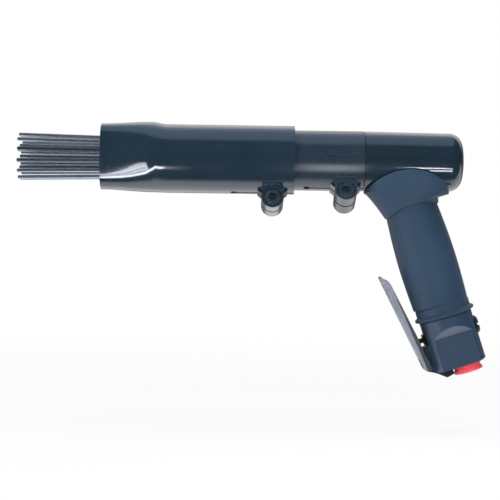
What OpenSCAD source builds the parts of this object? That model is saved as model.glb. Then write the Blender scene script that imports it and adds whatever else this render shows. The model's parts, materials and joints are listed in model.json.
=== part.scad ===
// Pistol-grip needle scaler, in millimetres.
// A hammer barrel drives a loose pack of steel needles through a clamped tube with a
// pinched nose. A raked handle under the barrel carries the lever throttle and air inlet.
// The barrel lies along X with the needles towards -X, Z is up, and the origin is the
// middle of the grip.

/* [Needle tube] */
// Outside diameter of the round part of the needle tube
tube_d = 52.6; // [51.6:0.2:55]
// Wall of the needle tube
tube_wall = 2; // [1.6:0.1:2.2]
// Length of the needle tube
tube_length = 148; // [140:1:156]
// Length of housing that the tube covers
tube_overlap = 31; // [29:0.5:34]
// Length over which the nose is pinched
nose_length = 50; // [44:1:56]
// Outside width across the pinched sides at the mouth
nose_width = 39; // [38:0.5:43]
// Outside height of the mouth
nose_height = 50.4; // [48:0.2:52]
// Rise of the top and bottom where the pinch begins
nose_bulge = 0.7; // [0.4:0.1:1.6]
// Rise of the middle of the nose above the tube axis
nose_rise = 0.9; // [0:0.1:1.2]
// Corner fullness of the mouth, 2 is an ellipse
nose_fullness = 2.7; // [2:0.1:3]
// Share of the half width by which the pinched sides are hollowed
nose_hollow = 0.06; // [0:0.01:0.08]
// Travel of the tube either way along the housing
tube_travel = 10; // [5:1:10]

/* [Clamps] */
// Diameter of the clamp lugs
lug_d = 17; // [16:0.5:18]
// Length of the lugs along the bolt
lug_length = 28; // [26:1:30]
// Distance of the bolt axis below the tube surface
lug_drop = 6.5; // [5.5:0.5:7.5]
// Distance of the front bolt axis from the split end of the tube
front_lug_from_end = 16.5; // [15.5:0.5:19]
// Distance of the rear bolt axis from the split end of the housing
rear_lug_from_end = 14; // [13.5:0.5:16]
// Width by which the foot of a lug flares on each side
lug_flare = 3; // [2:0.5:3.5]
// Length of boss beyond the flared foot at each end
lug_overhang = 6; // [4:0.5:7]
// Width of the weld round the boss
weld_width = 2.4; // [1.5:0.1:2.6]
// Height of the weld above the tube
weld_height = 1.4; // [0.8:0.1:1.8]
// Width of the split
slot_width = 2; // [1.5:0.5:3]
// Length of the split from the bolt axis to its relief hole
slot_reach = 29.5; // [26:0.5:31]
// Diameter of the relief hole that ends the split
slot_relief_d = 5; // [3.5:0.5:6]
// Thread diameter of the clamp bolts
clamp_bolt_d = 8; // [7:0.5:8]
// Turn of the front lug towards the left-hand side, degrees
front_roll = 13; // [0:1:25]
// Turn of the rear lug towards the left-hand side, degrees
rear_roll = 21; // [0:1:25]

/* [Needles] */
// Needle diameter
needle_d = 3; // [2.5:0.1:3.2]
// Needle length below the head
needle_length = 180.5; // [160:0.5:190]
// Diameter of the upset head
needle_head_d = 5; // [4.4:0.1:5.4]
// Length of the upset head
needle_head_length = 3; // [2:0.5:4]
// Radius of the inner ring of six holes
inner_ring_r = 6.5; // [6.2:0.1:6.8]
// Radius of the outer ring of twelve holes
outer_ring_r = 13; // [12.7:0.1:13.3]
// Turn of the inner ring about the barrel axis, degrees
inner_ring_turn = 25; // [0:1:59]
// Turn of the outer ring about the barrel axis, degrees
outer_ring_turn = 12; // [0:1:29]
// Growth of the pack's height from holder to tips
height_spread = 1.3; // [1.1:0.05:1.35]
// Growth of the pack's width from holder to tips
width_spread = 1.12; // [1.05:0.01:1.15]
// Axial float of each needle behind the holder
needle_float = 4; // [3:0.5:6]
// Step between the staggered rest places of the needles
needle_stagger = 0.2; // [0:0.1:0.6]
// Distance by which the needle tips stand off their even pattern
tip_sway = 0.1; // [0:0.05:0.5]
// Radial play of a needle in its hole
needle_play = 0.45; // [0.4:0.05:0.6]
// Thickness of the holder plate
holder_length = 9; // [8:0.5:12]
// Length of the spring boss on the holder
holder_boss_length = 5; // [4:0.5:7]
// Forward travel of the holder against its spring
holder_travel = 10; // [6:1:10]
// Wire diameter of the return spring
spring_wire = 2.4; // [2:0.1:2.6]
// Working turns of the return spring
spring_turns = 6; // [5:1:8]

/* [Hammer barrel] */
// Outside diameter of the barrel housing
housing_d = 46; // [45:0.2:46.6]
// Wall of the barrel housing
housing_wall = 2.5; // [2:0.1:2.8]
// Length of the barrel housing
housing_length = 84; // [81:1:88]
// Distance of the housing's rear joint ahead of the handle axis
seam_ahead = 26.5; // [26:0.5:28]
// Bore of the hammer barrel
bore_d = 24; // [22:0.5:26]
// Diameter of the barrel between its lands
barrel_waist_d = 35; // [32:0.5:37]
// Length of the piston
piston_length = 34; // [30:1:38]
// Stroke of the piston
stroke = 28; // [22:1:30]
// Diameter of the anvil's striking flange
anvil_flange_d = 35; // [33:0.5:37]
// Thickness of the anvil's striking flange
anvil_flange_length = 12; // [9:0.5:14]
// Diameter of the anvil shank
anvil_shank_d = 18; // [15:0.5:19]
// Length of the anvil's guide bush
anvil_bush_length = 30; // [24:1:34]
// Thickness of the valve seat plate
valve_seat_length = 3; // [2:0.5:4]
// Length of the valve chest
valve_chest_length = 7; // [6:0.5:8]
// Lift of the valve disc
valve_lift = 0.8; // [0.5:0.1:1]
// Thickness of the rubber bumper behind the valve chest
bumper_length = 4.5; // [3:0.5:5]

/* [Backhead] */
// Length of the backhead behind the housing
backhead_length = 76.5; // [75:0.5:79]
// Diameter of the backhead at its rear corner
backhead_rear_d = 44.4; // [43.4:0.2:45]
// Radius of the rear corner
backhead_corner = 10; // [8:0.5:11]
// Rise of the domed rear face
backhead_dome = 0.8; // [0.2:0.1:1.5]

/* [Handle] */
// Lean of the handle behind square to the barrel, degrees
handle_rake = 18; // [14:1:22]
// Distance down the handle from barrel axis to middle of grip
grip_centre = 84; // [78:1:90]
// Distance down the handle to the front and rear of the joint of saddle and grip
saddle_end = 39.5; // [38.5:0.5:41]
// Rise of the arched joint at the sides of the grip
seam_rise = 4.7; // [3:0.1:5.2]
// Radius of the saddle's arched upper edge
saddle_arch_r = 44; // [42:1:48]
// Depth of the arch top below the barrel axis
saddle_arch_drop = 6.9; // [6:0.1:9]
// Distance of the arch top behind the handle axis crossing
saddle_arch_back = 9; // [8:0.5:10]
// Greatest half width of the saddle
saddle_half_width = 24.6; // [24.2:0.1:25.4]
// Step from the saddle down to the grip
saddle_step = 1; // [0.5:0.1:1.4]
// Distance down the handle to the lower end of the grip
grip_end = 114; // [112:0.5:115]
// Depth of the grip, front to back, at its top
grip_top_depth = 40.7; // [39:0.1:42]
// Depth of the grip at its lower end
grip_end_depth = 42.7; // [41.5:0.1:43.5]
// Palm swell added at mid grip
grip_swell = 3.1; // [1:0.1:4]
// Width of the grip at its top
grip_top_width = 36; // [35:0.5:39]
// Width of the grip at its lower end
grip_end_width = 40; // [39:0.5:42]
// Diameter of the end collar
collar_d = 42; // [41.4:0.2:43]
// Diameter of the bead round the end collar
bead_d = 46.4; // [45:0.2:47.4]
// Thickness of the bead
bead_length = 3.2; // [2.5:0.1:3.6]
// Distance down the handle to the end of the collar
collar_end = 123.7; // [122.7:0.1:124.5]
// Diameter of the hidden handle stem
stem_d = 29; // [27:0.5:30]
// Air passage down the stem
stem_passage_d = 14; // [13:0.5:15]

/* [Throttle] */
// Diameter of the valve body
body_d = 41; // [40:0.2:42]
// Distance down the handle to the bottom of the valve body
body_end = 163.5; // [162:0.5:166]
// Distance between the milled flats
flats_width = 28; // [26:0.5:30]
// Distance down the handle to the top of the flats
flats_top = 138.5; // [137:0.5:141]
// Distance down the handle to the throttle's cross bore
throttle_at = 137; // [136:0.5:138]
// Diameter of the valve chamber
chamber_d = 10.4; // [9.6:0.2:11]
// Diameter of the plunger
plunger_d = 4; // [3.5:0.1:4.2]
// Outside diameter of the plunger bush
bush_d = 8; // [7.6:0.1:8.4]
// Diameter of the throttle plug's head
plug_head_d = 13.5; // [12.8:0.1:14]
// Distance of the lever pin above the bottom of the valve body
pivot_above = 6; // [5:0.5:7.5]
// Distance of the lever pin ahead of the valve body
pivot_stand_off = 4; // [3.8:0.1:5]
// Diameter of the lever pin
pin_d = 3.5; // [3:0.1:3.8]
// Outside width of the lever channel
lever_width = 19; // [18:0.5:21]
// Sheet thickness of the lever
lever_sheet = 1.6; // [1.2:0.1:2]
// Depth of the lever channel
lever_depth = 5.2; // [4.6:0.1:5.6]
// Distance down the handle to the lever tip
lever_tip_at = 80; // [78:0.5:85]
// Lean of the lever away from the handle, degrees
lever_lean = 9; // [8.5:0.1:9.5]
// Squeeze angle of the lever, degrees
lever_squeeze = 7.5; // [5:0.5:7.5]

/* [Air inlet] */
// Distance of the inlet behind the handle axis
inlet_behind = 5; // [4.5:0.1:6]
// Bore of the inlet thread
inlet_bore_d = 11.4; // [10.4:0.1:12]
// Outside diameter of the inlet bushing
inlet_bushing_d = 16.4; // [15.6:0.1:17]
// Length of the inlet bushing
inlet_bushing_length = 21.5; // [20:0.5:22]
// Length of bushing that stands out of the valve body
inlet_stand_out = 3.9; // [3.6:0.1:5]
// Outside diameter of the dust cap
cap_d = 19.6; // [19.4:0.1:20.4]
// Diameter of the cap's pull flange
cap_flange_d = 22.4; // [21.6:0.1:23]
// Thickness of the cap's end
cap_end = 2; // [1.5:0.1:2.5]
// Number of grip ribs round the cap
cap_ribs = 28; // [20:1:32]

/* [Hidden] */
$fn = 72;
// Radial gap between pieces that are fixed to each other
fit = 0.04;
// Gap between pieces that stop against each other
stop_gap = 0.3;
// Radial gap round the needle holder
holder_gap = 0.35;
// Small overlap for cuts that pass a face
past = 1;

tube_r = tube_d / 2;
housing_r = housing_d / 2;
housing_bore_r = housing_r - housing_wall;
lug_r = lug_d / 2;
needle_r = needle_d / 2;

// Stations along the barrel axis, from the crossing of barrel and handle
housing_rear = -seam_ahead;
housing_front = housing_rear - housing_length;
tube_rear = housing_front + tube_overlap;
tube_front = tube_rear - tube_length;
nose_start = tube_front + nose_length;
holder_rear = housing_front - stop_gap;
holder_front = holder_rear - holder_length;
holder_r = tube_r - tube_wall - holder_gap;
boss_front = holder_front - holder_boss_length;
head_seat_gap = 0.1;
anvil_front = holder_rear + head_seat_gap + needle_head_length + needle_float + stop_gap;
anvil_step = anvil_front + anvil_flange_length;
barrel_front = anvil_step + stop_gap;
stagger_places = 4;
anvil_travel = needle_float - needle_stagger * (stagger_places - 1);
bumper_rear = housing_rear + backhead_length - backhead_corner - stop_gap;
chest_rear = bumper_rear - bumper_length;
chest_front = chest_rear - valve_chest_length;
barrel_rear = chest_front - valve_seat_length;
piston_rear = barrel_rear - stop_gap;
piston_front = piston_rear - piston_length;
anvil_rear = piston_front - stroke - stop_gap;
land_r = housing_bore_r - fit;
rear_land_past = 20;
front_lug_at = tube_rear - front_lug_from_end;
rear_lug_at = housing_rear - rear_lug_from_end;
rear_land_front = rear_lug_at - slot_reach + past;
rear_land_rear = housing_rear + rear_land_past;

// Share of the nose length at its fullest section, and steepness of the pinch there
bulge_share = 0.22;
pinch_start = 1.6;

// The return spring bears on the holder and on the inside of the pinch
spring_seat_share = 0.36;
spring_front = nose_start - spring_seat_share * nose_length;
spring_rear = holder_front - fit;
spring_r = tube_half_width(spring_seat_share) * (1 - nose_hollow * hollow_share(spring_seat_share))
    - tube_wall - stop_gap - spring_wire / 2;
spring_steps = 12;
boss_r = (spring_r - spring_wire / 2) * cos(180 / spring_steps) - stop_gap;

// Bush between tube and housing stays behind the holder at full travel
bush_front = housing_front + tube_travel + past;
bush_rear = tube_rear - past;

// Handle stations
barrel_place = [-grip_centre * sin(handle_rake), 0, grip_centre * cos(handle_rake)];
stem_r = stem_d / 2;
body_r = body_d / 2;
body_top = collar_end + 0.1;
stem_end = body_top + 4;
inlet_mouth = body_end + inlet_stand_out;
inlet_inner = inlet_mouth - inlet_bushing_length;
passage_r = inlet_bore_d / 2 - 1.2;

// Throttle stations across the handle, positive to the rear
seat_face = -3;
seat_length = 5;
chamber_rear = 9;
plug_front = 12;
spot_face = body_r - 1.3;
washer_length = 1;
plug_head_length = 2.4;
bush_stand_out = 1.4;

// Lever outline values, and reach of the plunger to just clear of the lever web
lever_eye = 3.2;
lever_side_gap = 0.5;
lever_web_gap = 8;
pivot_at = body_end - pivot_above;
pivot_ahead = body_r + pivot_stand_off;
plunger_reach = pivot_ahead + (lever_eye - lever_sheet) / cos(lever_lean)
    + (pivot_at - throttle_at) * tan(lever_lean) - stop_gap;
lug_half_width = lever_width / 2 - lever_sheet - lever_side_gap;
web_end = pivot_at - lever_web_gap;

NEEDLES = 1 + 6 + 12;

// Node names

// Colours
black_gloss = [0.07, 0.08, 0.1];
dark_steel = [0.3, 0.32, 0.35];
bright_steel = [0.62, 0.64, 0.67];
black_oxide = [0.13, 0.13, 0.14];
grip_slate = [0.19, 0.22, 0.28];
body_slate = [0.21, 0.25, 0.31];
brass_gold = [0.72, 0.5, 0.25];
rubber_black = [0.1, 0.1, 0.1];
cap_red = [0.85, 0.16, 0.2];

// Shape functions
function needle_name(i) = str("needle_", i < 10 ? "0" : "", i);
function clamp01(u) = min(1, max(0, u));
function ease(u) = clamp01(u) * clamp01(u) * (3 - 2 * clamp01(u));
function signed_power(v, e) = sign(v) * pow(abs(v), e);
function mix(a, b, u) = a + (b - a) * u;
function arc(centre, r, from, to, steps) =
    [for (i = [0 : steps]) centre + r * [cos(mix(from, to, i / steps)), sin(mix(from, to, i / steps))]];

// Needle tube sections, with u running from 0 where forming starts to 1 at the mouth
// and the sides bending in from the fullest section
function past_bulge(u) = clamp01((u - bulge_share) / (1 - bulge_share));
function pinch(u) = past_bulge(u) * mix(pinch_start, 1, past_bulge(u));
function tube_half_height(u) =
    tube_r + nose_bulge * ease(u / bulge_share)
    - (tube_r + nose_bulge - nose_height / 2) * ease(past_bulge(u));
function tube_half_width(u) = tube_r - (tube_r - nose_width / 2) * pinch(u);
function tube_rise(u) = nose_rise * ease(u / bulge_share);
function hollow_share(u) = ease(past_bulge(u));
function tube_section(x, inset, sides) =
    let (
        u = clamp01((nose_start - x) / nose_length),
        power = 2 / (2 + (nose_fullness - 2) * ease(u)),
        h = tube_half_height(u) - inset,
        w = tube_half_width(u) - inset
    )
    [
        for (i = [0 : sides - 1])
            let (
                y = w * signed_power(cos(360 * i / sides), power),
                z = h * signed_power(sin(360 * i / sides), power),
                flank = pow(1 - pow(z / h, 2), 2)
            )
            [x, y * (1 - nose_hollow * hollow_share(u) * flank), z + tube_rise(u)]
    ];

// Grip sections, with u running from 0 at the saddle to 1 at the collar
function grip_depth(u) = mix(grip_top_depth, grip_end_depth, u) + grip_swell * sin(180 * u);
function grip_width(u) = mix(grip_top_width, grip_end_width, u * u) + 1.2 * sin(180 * u);
function grip_front_share(c) = c < 0 ? 0.515 : 0.485;
function grip_section(u, grow, sides) =
    [
        for (i = [0 : sides - 1])
            let (c = cos(360 * i / sides), s = sin(360 * i / sides))
            [
                (grip_depth(u) * grip_front_share(c) + grow) * c,
                (grip_width(u) / 2 + grow) * s,
                -mix(saddle_end, grip_end, u)
            ]
    ];

// Saddle sections in the barrel frame, with u from 0 inside the barrel to 1 at the grip
saddle_top = [saddle_arch_back - 1.6, -4];
saddle_foot = saddle_end * [sin(handle_rake), -cos(handle_rake)];
saddle_lip = 0.76;
saddle_toe = 35.5;
saddle_heel = 29.2;
saddle_tip = 0.52;
saddle_fullness = 0.72;
function saddle_front(u) =
    mix(
        saddle_toe, grip_depth(0) * grip_front_share(-1) + saddle_step,
        pow(clamp01((u - saddle_tip) / (1 - saddle_tip)), 0.74)
    );
function saddle_rear(u) = u <= saddle_lip ? saddle_heel : grip_depth(0) * grip_front_share(1) + saddle_step;
function saddle_half(u) = mix(saddle_half_width, grip_width(0) / 2 + saddle_step, ease((u - 0.2) / 0.8));
function saddle_section(u, sides) =
    let (
        centre = mix(saddle_top, saddle_foot, u),
        tilt = handle_rake * u * u,
        power = mix(saddle_fullness, 1, ease((u - 0.6) / 0.4))
    )
    [
        for (i = [0 : sides - 1])
            let (
                c = signed_power(cos(360 * i / sides), power),
                reach = (c < 0 ? saddle_front(u) : saddle_rear(u)) * c
            )
            [
                centre[0] + reach * cos(tilt),
                saddle_half(u) * signed_power(sin(360 * i / sides), power),
                centre[1] + reach * sin(tilt)
            ]
    ];

// Least distance between turns of a coil, measured on the points of its centre line
function coil_gap(points, steps, wire) =
    min([
        for (i = [0 : len(points) - steps / 2 - 1])
            for (j = [i + steps / 2 : min(len(points) - 1, i + 2 * steps)])
                norm(points[i] - points[j])
    ]) - wire;

// Frames
module at_barrel() {
    translate(barrel_place) children();
}

module at_handle() {
    translate(barrel_place) rotate([0, -handle_rake, 0]) children();
}

// Cross bore of the throttle, children along +Z run to the rear of the handle
module at_throttle() {
    at_handle() translate([0, 0, -throttle_at]) rotate([0, 90, 0]) children();
}

// Inlet, children along +Z run up into the handle
module at_inlet() {
    at_handle() translate([inlet_behind, 0, -inlet_mouth]) children();
}

// Lever pin line
module at_pivot() {
    at_handle() translate([-pivot_ahead, 0, -pivot_at]) children();
}

// Bolt line of a clamp, children along +Z run to the right-hand side
module at_clamp(r, x, roll) {
    rotate([-roll, 0, 0]) translate([x, 0, -r - lug_drop]) rotate([-90, 0, 0]) children();
}

// Solids of turning about the barrel axis, outline as radius and station
module turned(outline) {
    rotate([0, 90, 0]) rotate_extrude() polygon(outline);
}

module ring_between(inner, outer, from, to) {
    turned([[inner, from], [outer, from], [outer, to], [inner, to]]);
}

// Skin over a stack of sections, capped at both ends
module loft(sections) {
    n = len(sections[0]);
    last = len(sections) - 1;
    polyhedron(
        points = [for (s = sections) each s],
        faces = concat(
            [[for (i = [0 : n - 1]) i]],
            [[for (i = [n - 1 : -1 : 0]) last * n + i]],
            [
                for (j = [0 : last - 1]) for (i = [0 : n - 1])
                    [j * n + i, (j + 1) * n + i, (j + 1) * n + (i + 1) % n]
            ],
            [
                for (j = [0 : last - 1]) for (i = [0 : n - 1])
                    [j * n + i, (j + 1) * n + (i + 1) % n, j * n + (i + 1) % n]
            ]
        )
    );
}

// Skin over a closed loop of sections, for walls open at both ends
module loop_loft(sections) {
    n = len(sections[0]);
    count = len(sections);
    polyhedron(
        points = [for (s = sections) each s],
        faces = concat(
            [
                for (j = [0 : count - 1]) for (i = [0 : n - 1])
                    [j * n + i, ((j + 1) % count) * n + i, ((j + 1) % count) * n + (i + 1) % n]
            ],
            [
                for (j = [0 : count - 1]) for (i = [0 : n - 1])
                    [j * n + i, ((j + 1) % count) * n + (i + 1) % n, j * n + (i + 1) % n]
            ]
        )
    );
}

// Coil spring along X as one unbroken wire
module coil(r, wire, turns, length, steps, sides) {
    pitch = (length - wire - 2 * end_pitch_for(wire)) / turns;
    closed = end_pitch_for(wire);
    total = turns + 2;
    path = [
        for (k = [0 : steps * total])
            let (turn = k / steps)
            [
                wire / 2 + (
                    turn < 1 ? turn * closed
                    : turn > total - 1 ? closed + turns * pitch + (turn - total + 1) * closed
                    : closed + (turn - 1) * pitch
                ),
                360 * turn
            ]
    ];
    points = [for (p = path) [p[0], r * cos(p[1]), r * sin(p[1])]];
    echo(least_gap_in_coil = coil_gap(points, steps, wire));
    loft([
        for (p = path) [
            for (i = [0 : sides - 1])
                let (
                    across = wire / 2 * cos(360 * i / sides),
                    out = r + wire / 2 * sin(360 * i / sides)
                )
                [p[0] + across, out * cos(p[1]), out * sin(p[1])]
        ]
    ]);
}

function end_pitch_for(wire) = wire + 0.6;

// Clamp lug to be joined to a tube of radius r: a round boss on a neck nearly as long, a
// shorter foot that flares out on the tube, and a weld round the boss
module clamp_lug(r, x, roll) {
    neck_length = lug_length - 2 * neck_inset;
    at_clamp(r, x, roll) {
        translate([0, 0, -lug_length / 2])
            cylinder(r = lug_r, h = lug_length);
        lug_web(r, neck_length, -neck_inset);
        lug_web(r, lug_length - 2 * lug_overhang, lug_flare);
    }
    intersection() {
        at_clamp(r, x, roll)
            translate([0, 0, -neck_length / 2])
                cylinder(r = lug_r + weld_width, h = neck_length);
        ring_between(r - 0.4, r + weld_height, x - lug_d, x + lug_d);
    }
}

neck_inset = 0.8;

// Web from the middle of a boss up into the wall of its tube
module lug_web(r, length, flare) {
    rise = lug_drop + r - sqrt(r * r - length * length / 4) + 0.4;
    shoulder = lug_r - 0.4;
    slope = abs(flare) - lug_drop;
    translate([0, 0, -length / 2])
        linear_extrude(length)
            polygon([
                [-shoulder, 0],
                [shoulder, 0],
                [shoulder, slope],
                [lug_r + flare, -lug_drop],
                [lug_r + flare, -rise],
                [-lug_r - flare, -rise],
                [-lug_r - flare, -lug_drop],
                [-shoulder, slope]
            ]);
}

// Everything that a clamp removes: split, relief hole, tapped bolt hole and head recess
module clamp_cuts(r, x, end, roll) {
    depth = lug_drop + lug_r + past;
    start = x - slot_reach;
    rotate([-roll, 0, 0]) {
        translate([start, -slot_width / 2, -r - depth])
            cube([end - start + past, slot_width, depth + r / 2]);
        translate([start, 0, -r - past])
            cylinder(d = slot_relief_d, h = r / 2);
    }
    at_clamp(r, x, roll) {
        translate([0, 0, -lug_length / 2 - past])
            cylinder(d = clamp_bolt_d + 0.5, h = lug_length / 2 + past);
        cylinder(r = clamp_bolt_d / 2 + fit, h = lug_length / 2 + past);
        translate([0, 0, -lug_length / 2 - past])
            cylinder(r = bolt_head_r + 0.15, h = bolt_recess + past);
    }
}

bolt_head_r = clamp_bolt_d * 0.8125;
bolt_recess = clamp_bolt_d + 0.2;
bolt_socket_r = clamp_bolt_d * 0.375 / cos(30);

// Socket-head bolt sunk in the near half of a lug and threaded into the far half
module clamp_bolt(r, x, roll) {
    seat = bolt_recess - lug_length / 2;
    bevel = 0.6;
    at_clamp(r, x, roll)
        difference() {
            union() {
                translate([0, 0, seat - clamp_bolt_d])
                    cylinder(r1 = bolt_head_r - bevel, r2 = bolt_head_r, h = bevel);
                translate([0, 0, seat - clamp_bolt_d + bevel])
                    cylinder(r = bolt_head_r, h = clamp_bolt_d - bevel);
                translate([0, 0, seat - past])
                    cylinder(d = clamp_bolt_d, h = lug_length - bolt_recess);
            }
            translate([0, 0, seat - clamp_bolt_d - past])
                cylinder(r = bolt_socket_r, h = clamp_bolt_d * 0.5 + past, $fn = 6);
        }
}

// Needle tube pieces
module front_tube() {
    sides = 56;
    rows = 14;
    stations = concat(
        [for (i = [0 : rows]) mix(tube_front, nose_start, i / rows)],
        [tube_rear]
    );
    last = len(stations) - 1;
    color(black_gloss)
        at_barrel()
            difference() {
                union() {
                    loop_loft(concat(
                        [for (i = [0 : last]) tube_section(stations[i], 0, sides)],
                        [for (i = [last : -1 : 0]) tube_section(stations[i], tube_wall, sides)]
                    ));
                    difference() {
                        clamp_lug(tube_r, front_lug_at, front_roll);
                        ring_between(0, tube_r - tube_wall / 2, tube_front, tube_rear + past);
                    }
                }
                clamp_cuts(tube_r, front_lug_at, tube_rear, front_roll);
            }
}

module tube_bush() {
    color(rubber_black)
        at_barrel()
            ring_between(
                housing_r + 0.05, (tube_r - tube_wall) * cos(180 / 56) - 0.02, bush_front, bush_rear
            );
}

module front_clamp_bolt() {
    color(black_oxide)
        at_barrel() clamp_bolt(tube_r, front_lug_at, front_roll);
}

// Needle pack
function needle_ring(i) = i == 1 ? 0 : i <= 7 ? 1 : 2;
function needle_angle(i) =
    i == 1 ? 0 : i <= 7 ? inner_ring_turn + 60 * (i - 2) : outer_ring_turn + 30 * (i - 8);
function needle_radius(i) = [0, inner_ring_r, outer_ring_r][needle_ring(i)];
function needle_hole(i) = needle_radius(i) * [cos(needle_angle(i)), sin(needle_angle(i))];
function needle_lift(i) = needle_stagger * ((i * 7) % stagger_places);
function needle_sway(i) = tip_sway * [sin(97 * i), cos(61 * i)];
function needle_tip(i) =
    let (hole = needle_hole(i), sway = needle_sway(i))
    [-needle_length, hole[0] * width_spread + sway[0], hole[1] * height_spread + sway[1]];
function needle_along(i) =
    let (hole = needle_hole(i)) needle_tip(i) - [0, hole[0], hole[1]];

module needle_holder() {
    color(dark_steel)
        at_barrel()
            difference() {
                union() {
                    ring_between(0, holder_r, holder_front, holder_rear);
                    ring_between(0, boss_r, boss_front, holder_front + past);
                }
                for (i = [1 : NEEDLES])
                    translate([boss_front - past, needle_hole(i)[0], needle_hole(i)[1]])
                        rotate([0, 90, 0])
                            cylinder(
                                r = needle_r + needle_play,
                                h = holder_rear - boss_front + 2 * past,
                                $fn = 32
                            );
            }
}

// One needle, its head behind the holder and its shank following its own line
module needle(i) {
    along = needle_along(i);
    tip_bevel = 0.4;
    head_round = 0.7;
    color(bright_steel)
        at_barrel()
            translate([holder_rear + head_seat_gap, needle_hole(i)[0], needle_hole(i)[1]])
                rotate([0, acos(along[2] / norm(along)), atan2(along[1], along[0])])
                    translate([0, 0, -needle_lift(i)])
                        rotate_extrude($fn = 32)
                            polygon([
                                [0, -needle_head_length],
                                [needle_head_d / 2 - head_round, -needle_head_length],
                                [needle_head_d / 2, -needle_head_length + head_round],
                                [needle_head_d / 2, 0],
                                [needle_r, 0],
                                [needle_r, needle_length - tip_bevel],
                                [needle_r - tip_bevel, needle_length],
                                [0, needle_length]
                            ]);
}

module holder_spring() {
    color(bright_steel)
        at_barrel()
            translate([spring_front, 0, 0])
                coil(spring_r, spring_wire, spring_turns, spring_rear - spring_front, spring_steps, 6);
}

// Hammer barrel pieces
module barrel_housing() {
    color(dark_steel)
        at_barrel()
            difference() {
                union() {
                    ring_between(0, housing_r, housing_front, housing_rear);
                    clamp_lug(housing_r, rear_lug_at, rear_roll);
                }
                ring_between(0, housing_bore_r, housing_front - past, housing_rear + past);
                clamp_cuts(housing_r, rear_lug_at, housing_rear, rear_roll);
            }
}

module rear_clamp_bolt() {
    color(black_oxide)
        at_barrel() clamp_bolt(housing_r, rear_lug_at, rear_roll);
}

module hammer_barrel() {
    front_land = 12;
    port_d = 5;
    port_at = mix(anvil_rear, barrel_rear, 0.4);
    bore_r = bore_d / 2;
    waist_r = barrel_waist_d / 2;
    color(dark_steel)
        at_barrel()
            difference() {
                turned([
                    [bore_r, barrel_front],
                    [land_r, barrel_front],
                    [land_r, barrel_front + front_land],
                    [waist_r, barrel_front + front_land + 2],
                    [waist_r, rear_land_front],
                    [land_r, rear_land_front + 2],
                    [land_r, rear_land_rear],
                    [waist_r, rear_land_rear + 2],
                    [waist_r, barrel_rear],
                    [bore_r, barrel_rear]
                ]);
                for (a = [45 : 90 : 315])
                    rotate([a, 0, 0])
                        translate([port_at, 0, 0])
                            cylinder(d = port_d, h = housing_r);
            }
}

module anvil_bush() {
    color(brass_gold)
        at_barrel()
            ring_between(
                anvil_shank_d / 2 + 0.06, bore_d / 2 - fit / 2, barrel_front, barrel_front + anvil_bush_length
            );
}

module anvil() {
    edge = 1.2;
    shank_r = anvil_shank_d / 2;
    flange_r = anvil_flange_d / 2;
    color(bright_steel)
        at_barrel()
            turned([
                [0, anvil_front],
                [flange_r - edge, anvil_front],
                [flange_r, anvil_front + edge],
                [flange_r, anvil_step],
                [shank_r, anvil_step],
                [shank_r, anvil_rear - edge],
                [shank_r - edge, anvil_rear],
                [0, anvil_rear]
            ]);
}

module piston() {
    edge = 1;
    r = bore_d / 2 - 0.05;
    groove = 0.6;
    third = piston_length / 3;
    color(bright_steel)
        at_barrel()
            turned([
                [0, piston_front],
                [r - edge, piston_front],
                [r, piston_front + edge],
                [r, piston_front + third],
                [r - groove, piston_front + third + groove],
                [r, piston_front + third + 2 * groove],
                [r, piston_front + 2 * third],
                [r - groove, piston_front + 2 * third + groove],
                [r, piston_front + 2 * third + 2 * groove],
                [r, piston_rear - edge],
                [r - edge, piston_rear],
                [0, piston_rear]
            ]);
}

module valve_seat() {
    port_d = 6;
    color(dark_steel)
        at_barrel()
            ring_between(port_d / 2, barrel_waist_d / 2, barrel_rear, chest_front);
}

// Valve disc floats in a pocket of the chest
valve_disc_r = bore_d / 2 - 2.5;
valve_disc_length = 1.2;

module valve_disc() {
    color(bright_steel)
        at_barrel()
            ring_between(0, valve_disc_r, chest_front + 0.1, chest_front + 0.1 + valve_disc_length);
}

module valve_chest() {
    supply_d = 7;
    pocket = chest_front + 0.1 + valve_disc_length + valve_lift + stop_gap;
    color(dark_steel)
        at_barrel()
            turned([
                [valve_disc_r + stop_gap, chest_front],
                [barrel_waist_d / 2, chest_front],
                [barrel_waist_d / 2, chest_rear],
                [supply_d / 2, chest_rear],
                [supply_d / 2, pocket],
                [valve_disc_r + stop_gap, pocket]
            ]);
}

module bumper() {
    color(rubber_black)
        at_barrel()
            ring_between(bore_d / 4, barrel_waist_d / 2, chest_rear, bumper_rear);
}

// Backhead casting with the stem that runs down inside the grip
module backhead() {
    corner_steps = 10;
    rear_r = backhead_rear_d / 2;
    front = housing_rear + 0.15;
    rear = housing_rear + backhead_length;
    bevel = 0.5;
    color(black_gloss)
        difference() {
            union() {
                at_barrel()
                    turned(concat(
                        [
                            [0, front],
                            [housing_r - bevel, front],
                            [housing_r, front + bevel]
                        ],
                        arc(
                            [rear_r - backhead_corner, rear - backhead_corner - backhead_dome],
                            backhead_corner, 0, 84, corner_steps
                        ),
                        [[0, rear]]
                    ));
                at_handle()
                    translate([0, 0, -stem_end])
                        cylinder(r = stem_r, h = stem_end);
            }
            at_barrel()
                ring_between(0, housing_bore_r, front - past, bumper_rear);
            at_handle()
                translate([0, 0, -stem_end - past])
                    cylinder(d = stem_passage_d, h = stem_end + past);
        }
}

// Arched joint of saddle and grip, a round across the handle
seam_half = grip_top_depth / 2;
seam_r = (seam_half * seam_half + seam_rise * seam_rise) / (2 * seam_rise);

module seam_arch(grow) {
    block_half = 0.9 * seam_r;
    at_handle()
        translate([0, 0, seam_rise - saddle_end - seam_r]) {
            rotate([90, 0, 0])
                cylinder(r = seam_r + grow, h = 4 * housing_r, center = true, $fn = 128);
            translate([-block_half, -2 * housing_r, -grip_end])
                cube([2 * block_half, 4 * housing_r, grip_end]);
        }
}

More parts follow.
